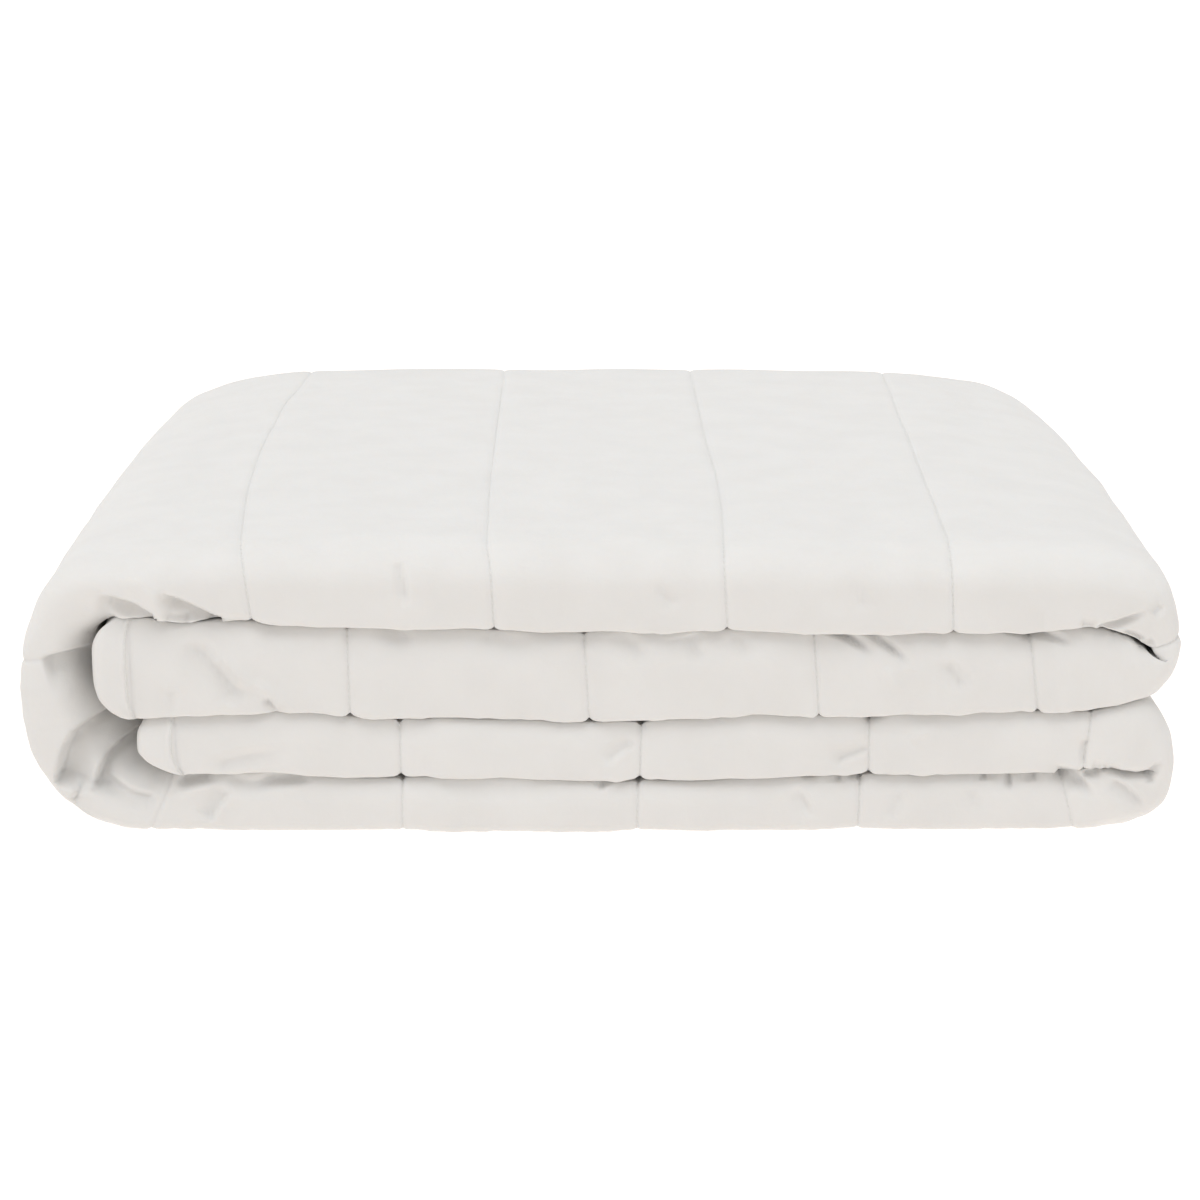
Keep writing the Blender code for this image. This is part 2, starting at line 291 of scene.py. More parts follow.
def controlRows():
    # the rows of all bands and bends in the strip's order, the zone of each, and those on bends' seams
    rows, zoneOf, bendSeams = [], [], []
    for name in zones:
        if name in bends:
            part = np.array(bends[name]["rows"]) / rowUnits
            lean = np.array(bends[name]["lean"]) / (1, 1000, 1000)
            spots = np.arange(len(part))
            leans = [np.interp(spots, lean[:, 0], lean[:, side]) for side in (1, 2)]
            part = np.column_stack([part] + leans)
            bendSeams += [len(zoneOf) + i for i in bends[name]["seams"]]
        else:
            part = bandRows(next(b for b in bands if b["name"] == name))
        rows.append(part)
        zoneOf += [zones.index(name)] * len(part)
    return np.vstack(rows), np.array(zoneOf), bendSeams


rows, rowZone, bendSeams = controlRows()
rowMiddle = (rows[:, :2] + rows[:, 2:4]) / 2
rowPath = pathLengths(rowMiddle)
dense = np.linspace(0, rowPath[-1], 8000)
denseRows = smoothCurve(rows, dense, rowPath)
denseZone = zoneAt(dense)
denseX = (denseRows[:, 0] + denseRows[:, 2]) / 2


def seamPlaces():
    # where each seam crosses the strip, and how far it leans from the inner to the outer side
    found = [(rowPath[i], 0.0) for i in bendSeams]
    for band in bands:
        elsewhere = ~isOn(denseZone, band["name"]) * 0.1
        for outerX, innerX in band["seams"]:
            # band 4 has a seam beyond its end, where the big bend comes down to the floor
            beyond = band["name"] == "band4" and outerX < band["x"][0]
            away = (abs(denseRows[:, 1]) > 0.02) * 0.5 if beyond else elsewhere
            miss = abs(denseX - (outerX + innerX) / 2) + away
            found.append((dense[np.argmin(miss)], outerX - innerX))
    return np.array(sorted(found))


seamPath, seamLean = seamPlaces().T
print("seams across the strip:", len(seamPath))

quilt = {
    "square": 0.100,
    "puff": (0.0007, 0.0160),  # depth and width of a seam's wide hollow
    "pull": (0.0004, 0.0028),  # of its close hollow
    "stitch": (0.0007, 0.0007),  # of the sunk line of stitches
    "notch": (0.0010, 0.0015),  # of the pinch where a seam turns into a gap
    "pinch": (0.4, 0.85),  # the shares of the notch at the gap below the top band, and at the others
    "crossSeams": (0.060, 0.160, 0.260, 0.360),  # from the front fold, on the outer ply
    "innerCrossSeam": 0.040,  # and on the inner one
    "crossShare": 0.12,
    "seamPucker": ((0.011, 0.017, 0.024), 0.00022, 3),  # wave lengths, height and seed
    "gapPucker": ((0.007, 0.011, 0.017), 0.00016, 9),
    "softness": ((0.060, 0.090, 0.140), 0.00040, 5),
    "onFront": (0.030, 0.016),  # how far back the front's own relief fades, and where it is full
    "fullFront": (0.034, 0.004),  # the same for the seams' wide hollows
    "corner": (0.60, 0.98),  # the shares of a band's half height where its notches, and its puckers, begin
    "nearGap": (0.35, 0.90),
    "puckerBeside": (0.006, 0.012),  # where beside a seam its puckers lie, and how wide
    "hem": 0.0155,
    "hemStitches": 0.0008,  # how far outside the hem's line they lie
    "hemEdge": 0.0046,  # where a ply begins to narrow toward its end
    "hemBend": 0.0012,  # how far the hem's line bows
    "hemRidge": (0.0013, -0.0006, 0.0012),  # height, place from the hem's line, and width
    "hemGroove": (0.0005, 0.0014, 0.0008),
    "hemStep": (0.0006, 0.0012, -0.0006),  # how proud the hem stands, and where that ends and begins
    "longHem": (0.0008, 0.0012),  # depth and width of the line along the long edge
}

# Creases as they are seen from the camera, each as: the parts of the strip it is on, its depth and its
# widths on either side in mm (left of its line first), the rims beside it, how far back it runs in mm,
# the shares of its length that fade at its ends, and its line, column and row in turn in px of the frame
creases = [
    ("leftBend", 7.0, (1.2, 10), (0.8, 0), 90, (0.2, 0), (40, 662, 58, 657, 75, 653, 92, 649)),
    ("leftBend", 12.5, (1.4, 19), (0.8, 0), 110, (0.14, 0),
     (57, 789, 59, 779, 62, 768, 65, 757, 69, 747, 75, 737, 84, 729, 96, 720, 112, 711)),
    ("leftBend", 3.0, (1.1, 2.4), (0, 0), 110, (0.3, 0),
     (65, 758, 69, 747, 75, 737, 84, 729, 96, 720, 112, 711)),
    ("leftBend", 7.0, (0.9, 8), (0.9, 0), 110, (0.05, 0),
     (95, 792, 98, 781, 102, 769, 110, 757, 122, 746, 138, 735)),
    ("leftBend", 4.5, (1.0, 2.6), (0, 0), 110, (0.2, 0), (98, 784, 103, 767, 110, 756, 122, 746, 138, 735)),
    ("leftBend", -2.4, (5, 1.5), (0, 0), 110, (0.1, 0.4), (90, 792, 94, 780, 99, 768, 107, 756)),
    ("leftBend", 3.6, (1.2, 1.8), (0, 0.4), 40, (0.5, 0.2), (84, 778, 81, 787, 78, 795, 73, 806)),
    ("leftBend band4", 2.6, (1.6, 5), (0.4, 0), 50, (0.2, 0.2), (100, 781, 117, 788, 134, 795, 158, 799)),
    ("leftBend band1", 9.0, (1.0, 6.5), (0.8, 0), 60, (0.3, 0),
     (94, 596, 108, 599, 122, 603, 134, 607, 150, 617)),
    ("band1", 9.5, (0.9, 6.0), (0.8, 0), 60, (0.3, 0), (157, 592, 167, 598, 184, 605, 201, 613, 219, 622)),
    ("leftBend band1", -1.6, (4, 4), (0, 0), 60, (0.3, 0.2), (131, 568, 142, 585, 156, 602, 167, 616)),
    ("leftBend band1", -1.0, (8, 8), (0, 0), 90, (0.5, 0.5), (105, 562, 150, 572)),
    ("band1", 2.4, (3, 1.6), (0, 0.5), 30, (0.4, 0.1), (409, 612, 404, 590, 399, 562)),
    ("band1", 1.8, (2, 4), (0.4, 0), 30, (0.4, 0.3), (658, 580, 664, 594, 678, 606)),
    ("band1", 1.6, (2, 4), (0.3, 0), 30, (0.4, 0.3), (856, 578, 861, 597, 868, 612)),
    ("band1", 1.6, (1.6, 1.8), (0, 0), 30, (0.5, 0), (1039, 606, 1040, 627)),
    ("band1 rightBend", 4.5, (0.9, 2.2), (0.4, 0), 70, (0.1, 0.5),
     (1096, 628, 1108, 625, 1118, 623, 1132, 618, 1152, 609)),
    ("rightBend", 3.0, (1.0, 1.6), (0, 0), 70, (0.2, 0.2), (1124, 632, 1134, 634, 1144, 641)),
    ("rightBend", 2.4, (0.9, 2.2), (0.3, 0), 70, (0, 0.3), (1143, 645, 1154, 640)),
    ("band3", 4.6, (1.2, 1.4), (0, 0), 50, (0.2, 0.4), (862, 717, 872, 717, 891, 713)),
    ("rightBend", 2.0, (1.6, 3), (0, 0.4), 50, (0.3, 0.3), (1165, 603, 1157, 613, 1152, 618)),
    ("band1", 3.4, (2.4, 2), (0, 0), 60, (0.15, 0.15), (163, 618, 176, 620, 190, 621)),
    ("band1", 2.8, (2.0, 2), (0, 0), 60, (0.1, 0.3), (204, 621, 225, 621, 252, 622)),
    ("band2", 4.4, (4, 5), (0, 0), 60, (0.3, 0.2), (178, 640, 200, 655, 218, 672, 232, 692, 240, 706)),
    ("band2", -2.4, (3, 3), (0, 0), 60, (0.3, 0.2), (206, 652, 229, 670, 250, 690)),
    ("band2", -1.8, (2.5, 2), (0, 0), 60, (0.3, 0), (250, 680, 266, 692, 278, 706)),
    ("band2", 3.6, (1.8, 1.8), (0, 0), 30, (0.4, 0), (262, 697, 270, 704, 276, 711)),
    ("band2", 1.6, (2, 3), (0, 0), 30, (0.4, 0), (173, 686, 170, 710)),
    ("band2", 3.4, (3, 6), (0, 0.3), 50, (0, 0.7), (388, 624, 403, 635, 420, 646)),
    ("band2", 2.2, (5, 6), (0, 0), 50, (0.2, 0.6), (480, 630, 510, 643, 545, 650)),
    ("band2", 2.8, (3, 5), (0.3, 0), 50, (0.1, 0.6), (619, 632, 635, 649, 653, 664)),
    ("band2", 2.6, (3, 4), (0.3, 0), 50, (0.1, 0.6), (690, 634, 695, 650, 709, 662)),
    ("band2", 2.0, (3, 5), (0.3, 0), 50, (0.1, 0.6), (734, 634, 744, 646, 760, 655)),
    ("band2", 7.5, (2.6, 0.9), (0, 0.5), 60, (0, 0.7), (830, 632, 842, 636, 858, 645, 873, 656)),
    ("band2", 4.5, (1.0, 1.0), (0, 0), 60, (0.2, 0.4), (829, 630, 837, 631, 846, 634)),
    ("band2", 4.6, (2.4, 1.1), (0, 0.4), 60, (0, 0.6), (869, 632, 880, 641, 896, 654, 914, 669)),
    ("band2", 2.8, (3, 3.5), (0.3, 0.3), 60, (0.3, 0.4), (943, 660, 956, 677, 968, 694)),
    ("band2", -1.2, (3, 3), (0, 0), 60, (0.4, 0.4), (885, 664, 900, 692)),
    ("band2 rightBend", 6.5, (1.6, 1.3), (0, 0.3), 50, (0.1, 0.3), (1006, 629, 1022, 632, 1031, 640)),
    ("band2 rightBend", 4.0, (2, 2.5), (0, 0), 50, (0.2, 0.2), (1014, 627, 1030, 630, 1052, 629)),
    ("band2 rightBend", 4.8, (2.4, 0.9), (0, 0.5), 50, (0, 0.6),
     (1022, 632, 1040, 635, 1058, 640, 1078, 647)),
    ("band2 rightBend", 2.6, (2, 2), (0, 0), 50, (0.2, 0.3), (1080, 624, 1098, 626)),
    ("band3", 2.2, (3, 4), (0.3, 0), 50, (0.1, 0.6), (213, 769, 228, 762, 250, 757, 300, 752)),
    ("band3", 2.0, (4.0, 1.4), (0, 0.2), 50, (0.3, 0.3), (604, 766, 614, 756, 626, 748, 638, 742)),
    ("band3", 2.2, (4.0, 1.4), (0, 0.2), 50, (0.3, 0.2), (833, 768, 843, 759, 859, 753, 871, 747)),
    ("band3", -1.6, (4, 4), (0, 0), 50, (0.3, 0.4), (915, 743, 937, 723)),
    ("band3 lowBend", 2.0, (1.6, 1.0), (0, 0), 40, (0.3, 0.2), (1083, 768, 1084, 750, 1087, 738)),
    ("lowBend", 3.2, (2, 2), (0, 0), 40, (0.2, 0.2), (1092, 767, 1102, 766, 1108, 770)),
    ("band4", 5.6, (5, 2.6), (0, 0.6), 50, (0, 0.25), (169, 778, 190, 779, 216, 773)),
    ("band4", -1.2, (2, 3), (0, 0), 50, (0.2, 0.3), (160, 800, 185, 793, 222, 781)),
    ("band4", 3.0, (6, 1.6), (0, 0.6), 50, (0.2, 0.3), (206, 823, 218, 804, 230, 789)),
    ("band4", 6.0, (3.5, 2.6), (0, 0.4), 50, (0.4, 0.2), (254, 781, 285, 780, 308, 775)),
    ("band4", 2.4, (3, 4), (0, 0.4), 50, (0.3, 0.4), (223, 775, 250, 784, 282, 788)),
    ("band4", 1.8, (4, 6), (0, 0), 50, (0.3, 0.4), (410, 779, 450, 787, 580, 790)),
    ("band4", 3.6, (4, 1.3), (0, 1.0), 30, (0.4, 0), (598, 791, 604, 784, 612, 778)),
    ("band4", 2.2, (1.6, 4.5), (0.3, 0), 50, (0.4, 0.4), (794, 788, 803, 800, 813, 818)),
    ("band4", 5.0, (1.1, 1.0), (0, 0), 30, (0.2, 0.2), (802, 776, 815, 776)),
    ("band4", 5.0, (1.0, 1.0), (0, 0), 30, (0, 0.5), (838, 774, 838, 784)),
    ("band4", 5.0, (1.1, 1.0), (0, 0), 30, (0.2, 0.2), (848, 776, 861, 776)),
    ("band4", 1.8, (3, 3), (0, 0), 30, (0.4, 0.3), (905, 788, 893, 808, 886, 824)),
    ("band4", 1.8, (2, 3), (0.3, 0), 30, (0.4, 0.4), (965, 788, 975, 800, 978, 815)),
    ("band4", 4.4, (1.0, 1.0), (0, 0), 30, (0, 0.5), (985, 773, 985, 781)),
    ("band4", 5.0, (1.0, 1.4), (0, 0.3), 30, (0, 0.6), (1010, 773, 1009, 792)),
    ("band4", 4.4, (1.0, 1.3), (0, 0), 30, (0, 0.6), (1034, 771, 1034, 783)),
    ("band4 lowBend", 4.6, (1.6, 3), (0.6, 0.4), 50, (0, 0.5),
     (1059, 771, 1073, 773, 1085, 786, 1096, 799)),
    ("band4 lowBend", 3.0, (3, 4), (0, 0), 50, (0, 0.6), (1063, 774, 1080, 792)),
    ("lowBend", 3.6, (1.6, 2.0), (0, 0), 50, (0.2, 0.2), (1082, 773, 1102, 772)),
    ("lowBend", 2.8, (1.5, 4), (0.5, 0.4), 60, (0.2, 0.3), (1110, 779, 1124, 788, 1136, 798, 1144, 810)),
    ("lowBend", 3.6, (1.3, 2.0), (0.6, 0.6), 70, (0, 0.3),
     (1112, 768, 1124, 772, 1138, 773, 1149, 772, 1156, 766, 1166, 761)),
    ("lowBend", 3.0, (1.4, 2), (0, 0), 30, (0, 0.4), (1149, 774, 1152, 784)),
]

# How far apart the stations along the strip wish to be; at seams, ends and hems that grows by a share
# of the distance
spacing = {
    "plain": 0.0056, "bend": 0.0027, "seam": (0.0005, 0.28), "end": (0.0007, 0.14), "hem": (0.0005, 0.20),
    "softCrease": 0.0020, "sharpCrease": 0.0009, "stations": 800,
}


def stationPlaces():
    # close together at seams, creases, hems and bends, and wider apart on plain stretches
    wish = np.full_like(dense, spacing["plain"])
    wish[isOn(denseZone, *bends)] = spacing["bend"]

    def near(place, least, growth):
        return np.minimum(wish, least + growth * abs(place))

    for place in seamPath:
        wish = near(dense - place, *spacing["seam"])
    for end in (0, dense[-1]):
        wish = near(dense - end, *spacing["end"])
        wish = near(abs(dense - end) - quilt["hem"] - quilt["hemStitches"], *spacing["hem"])
    for on, _, wide, _, _, _, line in creases:
        xs = [(column - view["frame"] / 2) / view["footScale"] for column in line[::2]]
        margin = max(wide) * 0.001
        beside = (denseX > min(xs) - margin) & (denseX < max(xs) + margin) & isOn(denseZone, *on.split())
        fine = spacing["sharpCrease"] if min(wide) < 2 else spacing["softCrease"]
        wish[beside] = np.minimum(wish[beside], fine)
    total = np.concatenate([[0], np.cumsum((dense[1] - dense[0]) / wish[:-1])])
    places = np.interp(np.linspace(0, total[-1], spacing["stations"]), total, dense)
    for seam in seamPath:
        places[np.argmin(abs(places - seam))] = seam
    print("stations wished for:", int(total[-1]), "given:", spacing["stations"])
    return places


places = stationPlaces()
station = dict(zip(columns, smoothCurve(rows, places, rowPath).T[:, :, None]))
stationZone = zoneAt(places)
seamU = np.arange(1, len(seamPath) + 1) * quilt["square"]
along = np.interp(places, np.concatenate([[0], seamPath, [rowPath[-1]]]),
                  np.concatenate([[0], seamU, [seamU[-1] + quilt["square"]]]))
lean = np.interp(places, seamPath, seamLean)[:, None]
half = np.hypot(station["ox"] - station["ix"], station["oz"] - station["iz"]) / 2
middle = np.stack([(station["ox"] + station["ix"]) / 2, (station["oz"] + station["iz"]) / 2])
outward = np.stack([station["ox"] - station["ix"], station["oz"] - station["iz"]]) / (2 * half)
front = fold["front"] + station["front"]
back = fold["back"] - station["back"]
plyHalf = half / 3 - fold["plyGap"] / 2
innerN = half / 3 + fold["plyGap"] / 2  # inner faces of the outer plies


def evenAngles(depth, reach, power, steps):
    # the angles of a rounded quarter that lie evenly along it, closer together in its corner
    share = np.linspace(0, 1, 400)
    angle = (math.pi / 2 * share**2 * (3 - 2 * share))[None, :]
    deeper = np.diff(depth * np.sin(angle) ** (2 / power))
    further = np.diff(reach * np.cos(angle) ** (2 / power))
    length = np.cumsum(np.hypot(deeper * 2, further), axis=1)
    length = np.concatenate([0 * length[:, :1], length], axis=1)
    return np.stack([np.interp(np.linspace(0, line[-1], steps + 1), line, angle[0]) for line in length])


# Samples across the strip
section = {
    "innermostAt": -0.90,  # where the innermost ply's edge and the fold at the back lie along the cloth
    "foldAt": -0.46,
    "innermostEdge": (0.006, 0.78),  # how far that edge is from the front fold, at least and as a share
    "outerPly": (0.034, 0.046, 0.085, 0.110, 0.135, 0.190, 0.225, 0.290, 0.325, 0.395, 0.430),
    "besideSeam": 0.0035,
    "outerQuarter": 21,  # steps on the front fold's two quarters
    "innerQuarter": 24,
    "innerPly": (0.012, 0.03, 0.06, 0.10, 0.18, 0.35, 0.65, 0.93, 0.962, 0.972, 1.0),
    "longEdge": 0.006,  # how far the long hemmed edge stays from the back
}


def sectionSides():
    # the cloth's two sides across the strip: (y, n) for each sample at all stations, and the
    # distance along the cloth from the front fold; n counts outward from the strip's middle
    outerY, outerN, across, innerY, innerSideN, pick = [], [], [], [], [], []

    def add(atOuter, atInner, distance, inside):
        # a sample of the outer side, and the inner side's one beside it, which is kept if inside
        outerY.append(atOuter[0] + 0 * half)
        outerN.append(atOuter[1] + 0 * half)
        across.append(distance + 0 * half)
        if inside:
            innerY.append(atInner[0] + 0 * half)
            innerSideN.append(atInner[1] + 0 * half)
            pick.append(len(outerY) - 1)

    turn = plyHalf + half / 3
    tip = 2 * plyHalf
    least, portion = section["innermostEdge"]
    edge = front + np.maximum(tip + innerN + least, tip + portion * (station["inDepth"] - tip))
    startFold = back - turn
    # the innermost ply, from its edge near the front to the fold at the back
    for share in (0.0, 0.35, 1.0):
        thin = max(0.2, math.sqrt(1 - (1 - share) ** 2))
        y = edge + share * plyHalf
        add((y, -plyHalf * thin), (y, plyHalf * thin), section["innermostAt"] + share * 0.004, True)
    for share in (0.08, 0.95):
        y = edge + (startFold - edge) * share
        add((y, -plyHalf), (y, plyHalf), section["innermostAt"] + 0.44 * share, True)
    # the fold at the back
    gap = fold["plyGap"] / 2
    for i in range(8):
        angle = math.radians(-90 + 180 / 7 * i)
        y, n = math.cos(angle), math.sin(angle)
        add((startFold + turn * y, half / 3 + turn * n), (startFold + gap * y, half / 3 + gap * n),
            section["foldAt"] + 0.002 * i, i in (0, 3, 7))
    # the outer ply, forward to the front fold
    marks = list(section["outerPly"])
    for at in quilt["crossSeams"]:
        marks += [at + beside for beside in (-section["besideSeam"], 0, section["besideSeam"])]
    for i, at in enumerate(sorted(marks, reverse=True)):
        y = np.maximum(front + at, front + station["outDepth"] + station["outLean"] + 0.0005)
        y = np.minimum(y, startFold - 0.001 - 0.0002 * (len(marks) - i))
        add((y, half), (y, innerN), -at, i % 7 == 3)
    # the rounded fold at the front, its outer quarter first
    arcStart = -station["outDepth"]
    quarters = (("out", 1, section["outerQuarter"], 7), ("in", -1, section["innerQuarter"], 6))
    for side, reach, steps, every in quarters:
        nose, power, fallBack = station[side + "Depth"], 2 / station[side + "Power"], station[side + "Lean"]
        arc = 0.5 * math.pi * np.sqrt((nose**2 + half**2) / 2)
        angles = evenAngles(nose, half, station[side + "Power"], steps)[:, ::reach]
        depth = np.maximum(nose - tip, innerN)
        for i in range(0 if reach > 0 else 1, steps + 1):
            up, forth = np.cos(angles[:, i:i + 1]) ** power, np.sin(angles[:, i:i + 1]) ** power
            add((front + nose * (1 - forth) + fallBack * up * up, reach * half * up),
                (front + tip + depth * (1 - forth), reach * innerN * up),
                arcStart + arc * i / steps, i % every == 0)
        arcStart = arcStart + arc
    # the inner ply, back to its hemmed edge
    start = front + station["inDepth"] + station["inLean"]
    edge = back - section["longEdge"] - plyHalf
    for i, share in enumerate(section["innerPly"]):
        y = start + (edge - start) * share
        add((y, -half), (y, -innerN), arcStart + (y - start), i in (2, 6, 10))
    for share in (0.4, 0.85, 1.0):
        thin = max(0.2, math.sqrt(1 - share**2))
        y, centre, reach = edge + share * plyHalf, -(half + innerN) / 2, (half - innerN) / 2
        add((y, centre - reach * thin), (y, centre + reach * thin),
            arcStart + (edge - start) + share * plyHalf, True)
    return [np.concatenate(part, axis=1) for part in (outerY, outerN, across, innerY, innerSideN)] + [pick]


def tiltBigBend(y, n):
    # the big bend's front falls back from its rim to its inner side
    bend = places[isOn(stationZone, "leftBend")]
    ends = fold["tiltEnds"]
    tilt = smoothStep(bend[0], bend[0] + ends, places) * smoothStep(bend[-1], bend[-1] - ends, places)
    tilt = fold["bigTilt"] * tilt[:, None]
    return y + tilt * smoothStep(*fold["tiltDeep"], y - front) * np.clip(0.5 - n / (2 * half), 0, 1)


outY, outN, across, inY, inN, pick = sectionSides()
outY = tiltBigBend(outY, outN)
inY = tiltBigBend(inY, inN)
print("stations:", len(places), "samples across:", outY.shape[1], "and", inY.shape[1])

# The hemmed ends are bowed: how far their upper and lower corners are drawn back, and how sharply
hemBow = {"band2": ((0.0085, 5.5), (0.0090, 4.5)), "band3": ((0.0035, 4.0), (0.0150, 2.7))}


def seamShift(x, behind):
    # how far sideways the top's cloth lies from the front's, with the seams as posts between
    posts = np.array([topSide] + [line[0][1] for line in topSeams] + [-topSide]) / 1000
    lines = [np.array(line).T / 1000 for line in topSeams]
    shifts = [0 * x] + [np.interp(behind, back, seam) - seam[0] for back, seam in lines] + [0 * x]
    total = 0 * x
    for i, (post, shift) in enumerate(zip(posts, shifts)):
        if 0 < i < len(posts) - 1:
            rise = (x - posts[i + 1]) / (post - posts[i + 1])
            fall = (posts[i - 1] - x) / (posts[i - 1] - post)
            total = total + shift * np.clip(np.minimum(rise, fall), 0, 1)
    return total


def inZones(*names):
    return isOn(stationZone, *names)[:, None]


def placeInStack(y, n):
    # from the strip's own section to the folded stack
    x = middle[0] + n * outward[0] + lean * n / (2 * half)
    z = middle[1] + n * outward[1]
    depth = np.clip((y - fold["front"]) / (fold["back"] - fold["front"]), 0, 1)
    onTop = inZones(*topZones) * smoothStep(*fold["topFacing"], outward[1])
    onTop = onTop * smoothStep(*fold["topDepth"], n / half)
    z = z + fold["crown"] * np.sin(math.pi * depth) * smoothStep(*fold["crownEnds"], abs(x)) * onTop
    x = x + seamShift(x, y - front) * onTop
    share = np.clip(abs(n) / half, 0, 1)
    for end, name in ((places[0], "band2"), (places[-1], "band3")):
        (upper, upperPower), (lower, lowerPower) = hemBow[name]
        bow = np.where(outward[1] * n > 0, upper * share**upperPower, lower * share**lowerPower)
        x = x + bow * smoothStep(fold["bowReach"], 0.0, abs(places - end))[:, None]
    side = smoothStep(*fold["drawInFrom"], abs(x)) * depth**3
    x = x - np.sign(x) * np.where(x < 0, *fold["sideDrawIn"]) * side
    x = x - fold["rightDrawIn"] * np.sin(math.pi * depth) * smoothStep(*fold["rightMiddle"], x)
    drop = np.where(x < 0, *fold["sideDrop"])
    return np.stack([x, y, z * (1 - drop * side)], axis=2)


def gridNormals(points):
    # out of the cloth
    normal = np.cross(np.gradient(points, axis=0), np.gradient(points, axis=1))
    return normal / (np.linalg.norm(normal, axis=2, keepdims=True) + 1e-12)


outer = placeInStack(outY, outN)
inner = placeInStack(inY, inN)
normals = gridNormals(outer)


def hollow(distance, width):
    return np.exp(-((distance / width) ** 2))


def waves(u, v, lengths, strength, seed):
    # soft unevenness: a few crossed waves of about these lengths
    draw = np.random.default_rng(seed)
    total = 0
    for length in lengths:
        for _ in range(3):
            angle, phase = draw.uniform(0, math.pi), draw.uniform(0, 2 * math.pi)
            way = (u * math.cos(angle) + v * math.sin(angle)) / length
            total = total + np.sin(2 * math.pi * way + phase)
    return strength * total / math.sqrt(3 * len(lengths))


onFront = smoothStep(*quilt["onFront"], outY - front) * (abs(outN) <= half * 1.001)


def quiltRelief():
    # seams drawn in, with small puckers along them and a fuller middle in each square
    seamDistance = np.min(abs(along[:, None] - seamU[None, :]), axis=1)[:, None]
    crossAt = np.concatenate([-np.array(quilt["crossSeams"]), [quilt["innerCrossSeam"]]])
    crossDistance = np.min(abs(across[:, :, None] - crossAt), axis=2)

    def depth(distance, puffShare, otherShare):
        total = 0
        for part, share in (("puff", puffShare), ("pull", otherShare), ("stitch", otherShare)):
            deep, width = quilt[part]
            total = total + deep * share * hollow(distance, width)
        return total

    inBand = inZones(*[band["name"] for band in bands])
    touches = (outN < 0) | inZones("band2", "band3")
    corner = smoothStep(*quilt["corner"], abs(outN) / half) * onFront * touches * inBand
    underTop = inZones("band1") | (inZones("band2") & (outN < 0))
    pinch = np.where(underTop, *quilt["pinch"])
    toFront = smoothStep(*quilt["fullFront"], outY - front) * (0.3 + 0.7 * inBand)
    total = depth(seamDistance, (0.2 + 0.8 * toFront) * (1 - 0.7 * corner), 0.9 + 0.1 * toFront)
    total = np.maximum(total, depth(crossDistance, 1.0, 1.0) * quilt["crossShare"])
    notch, width = quilt["notch"]
    total = total + notch * hollow(seamDistance, width) * corner * pinch
    u = along[:, None] + 0 * across
    beside, width = quilt["puckerBeside"]
    pucker = waves(u * 0.3, across, *quilt["seamPucker"]) * hollow(seamDistance - beside, width)
    nearGap = smoothStep(*quilt["nearGap"], abs(outN) / half)
    pucker = pucker + waves(u, across * 0.25, *quilt["gapPucker"]) * nearGap
    return -total + pucker * onFront + waves(u, across, *quilt["softness"])


def nearestOnLine(column, row, line):
    # for each place in the frame: its distance from a line, the line's side that it lies on (-1 is
    # left of the line's run) and the share of the line's length that lies before it
    points = np.array(line, float).reshape(-1, 2)
    lengths = np.linalg.norm(np.diff(points, axis=0), axis=1)
    done = np.concatenate([[0], np.cumsum(lengths)]) / lengths.sum()
    best = np.full(column.shape, 1e9)
    side, share = np.zeros(column.shape), np.zeros(column.shape)
    for i, length in enumerate(lengths):
        run = (points[i + 1] - points[i]) / length
        right, down = column - points[i, 0], row - points[i, 1]
        past = np.clip(right * run[0] + down * run[1], 0, length)
        distance = np.hypot(right - past * run[0], down - past * run[1])
        nearer = distance < best
        best = np.where(nearer, distance, best)
        side = np.where(nearer, np.sign(run[0] * down - run[1] * right), side)
        share = np.where(nearer, done[i] + past / lengths.sum(), share)
    return best, side, share


def creaseRelief():
    total = np.zeros(across.shape)
    column, row = seenAt(outer)
    mmPerPx = 1000 / view["footScale"]
    for on, deep, wide, rims, runsBack, fades, line in creases:
        distance, side, share = nearestOnLine(column, row, line)
        distance = distance * mmPerPx
        fade = smoothStep(0, fades[0], share) if fades[0] else 1
        fade = fade * (smoothStep(1, 1 - fades[1], share) if fades[1] else 1)
        reach = smoothStep(runsBack * 0.001, runsBack * 0.0005, outY - front)
        width = np.where(side < 0, *wide)
        rim = np.where(side < 0, *rims)
        shape = -deep * hollow(distance, width) + rim * hollow(distance - 1.7 * width, width * 0.8)
        total += inZones(*on.split()) * fade * reach * shape
    return total * 0.001


def hemRelief():
    # a hem stands a little proud, with a ridge and a groove at its line of stitches
    distance = np.minimum(places, places[-1] - places)[:, None] + quilt["hemBend"] * (outN / half) ** 2
    edge = distance - quilt["hem"]
    ridge, ridgeAt, ridgeWidth = quilt["hemRidge"]
    groove, grooveAt, grooveWidth = quilt["hemGroove"]
    step, stepEnd, stepStart = quilt["hemStep"]
    return (ridge * hollow(edge - ridgeAt, ridgeWidth) - groove * hollow(edge - grooveAt, grooveWidth)
            + step * smoothStep(stepEnd, stepStart, edge))


# How creases press the cloth back: how far at most, in half plies, and where the inner side makes way
press = {
    "most": 2.3,
    "inner": 0.9,
    "settle": (0.007, 1.5),  # how far back a push reaches, at least and for each metre of it
    "hidden": (0.12, 0.3),  # how far behind the front the inner ply is hidden, and the share left there
}

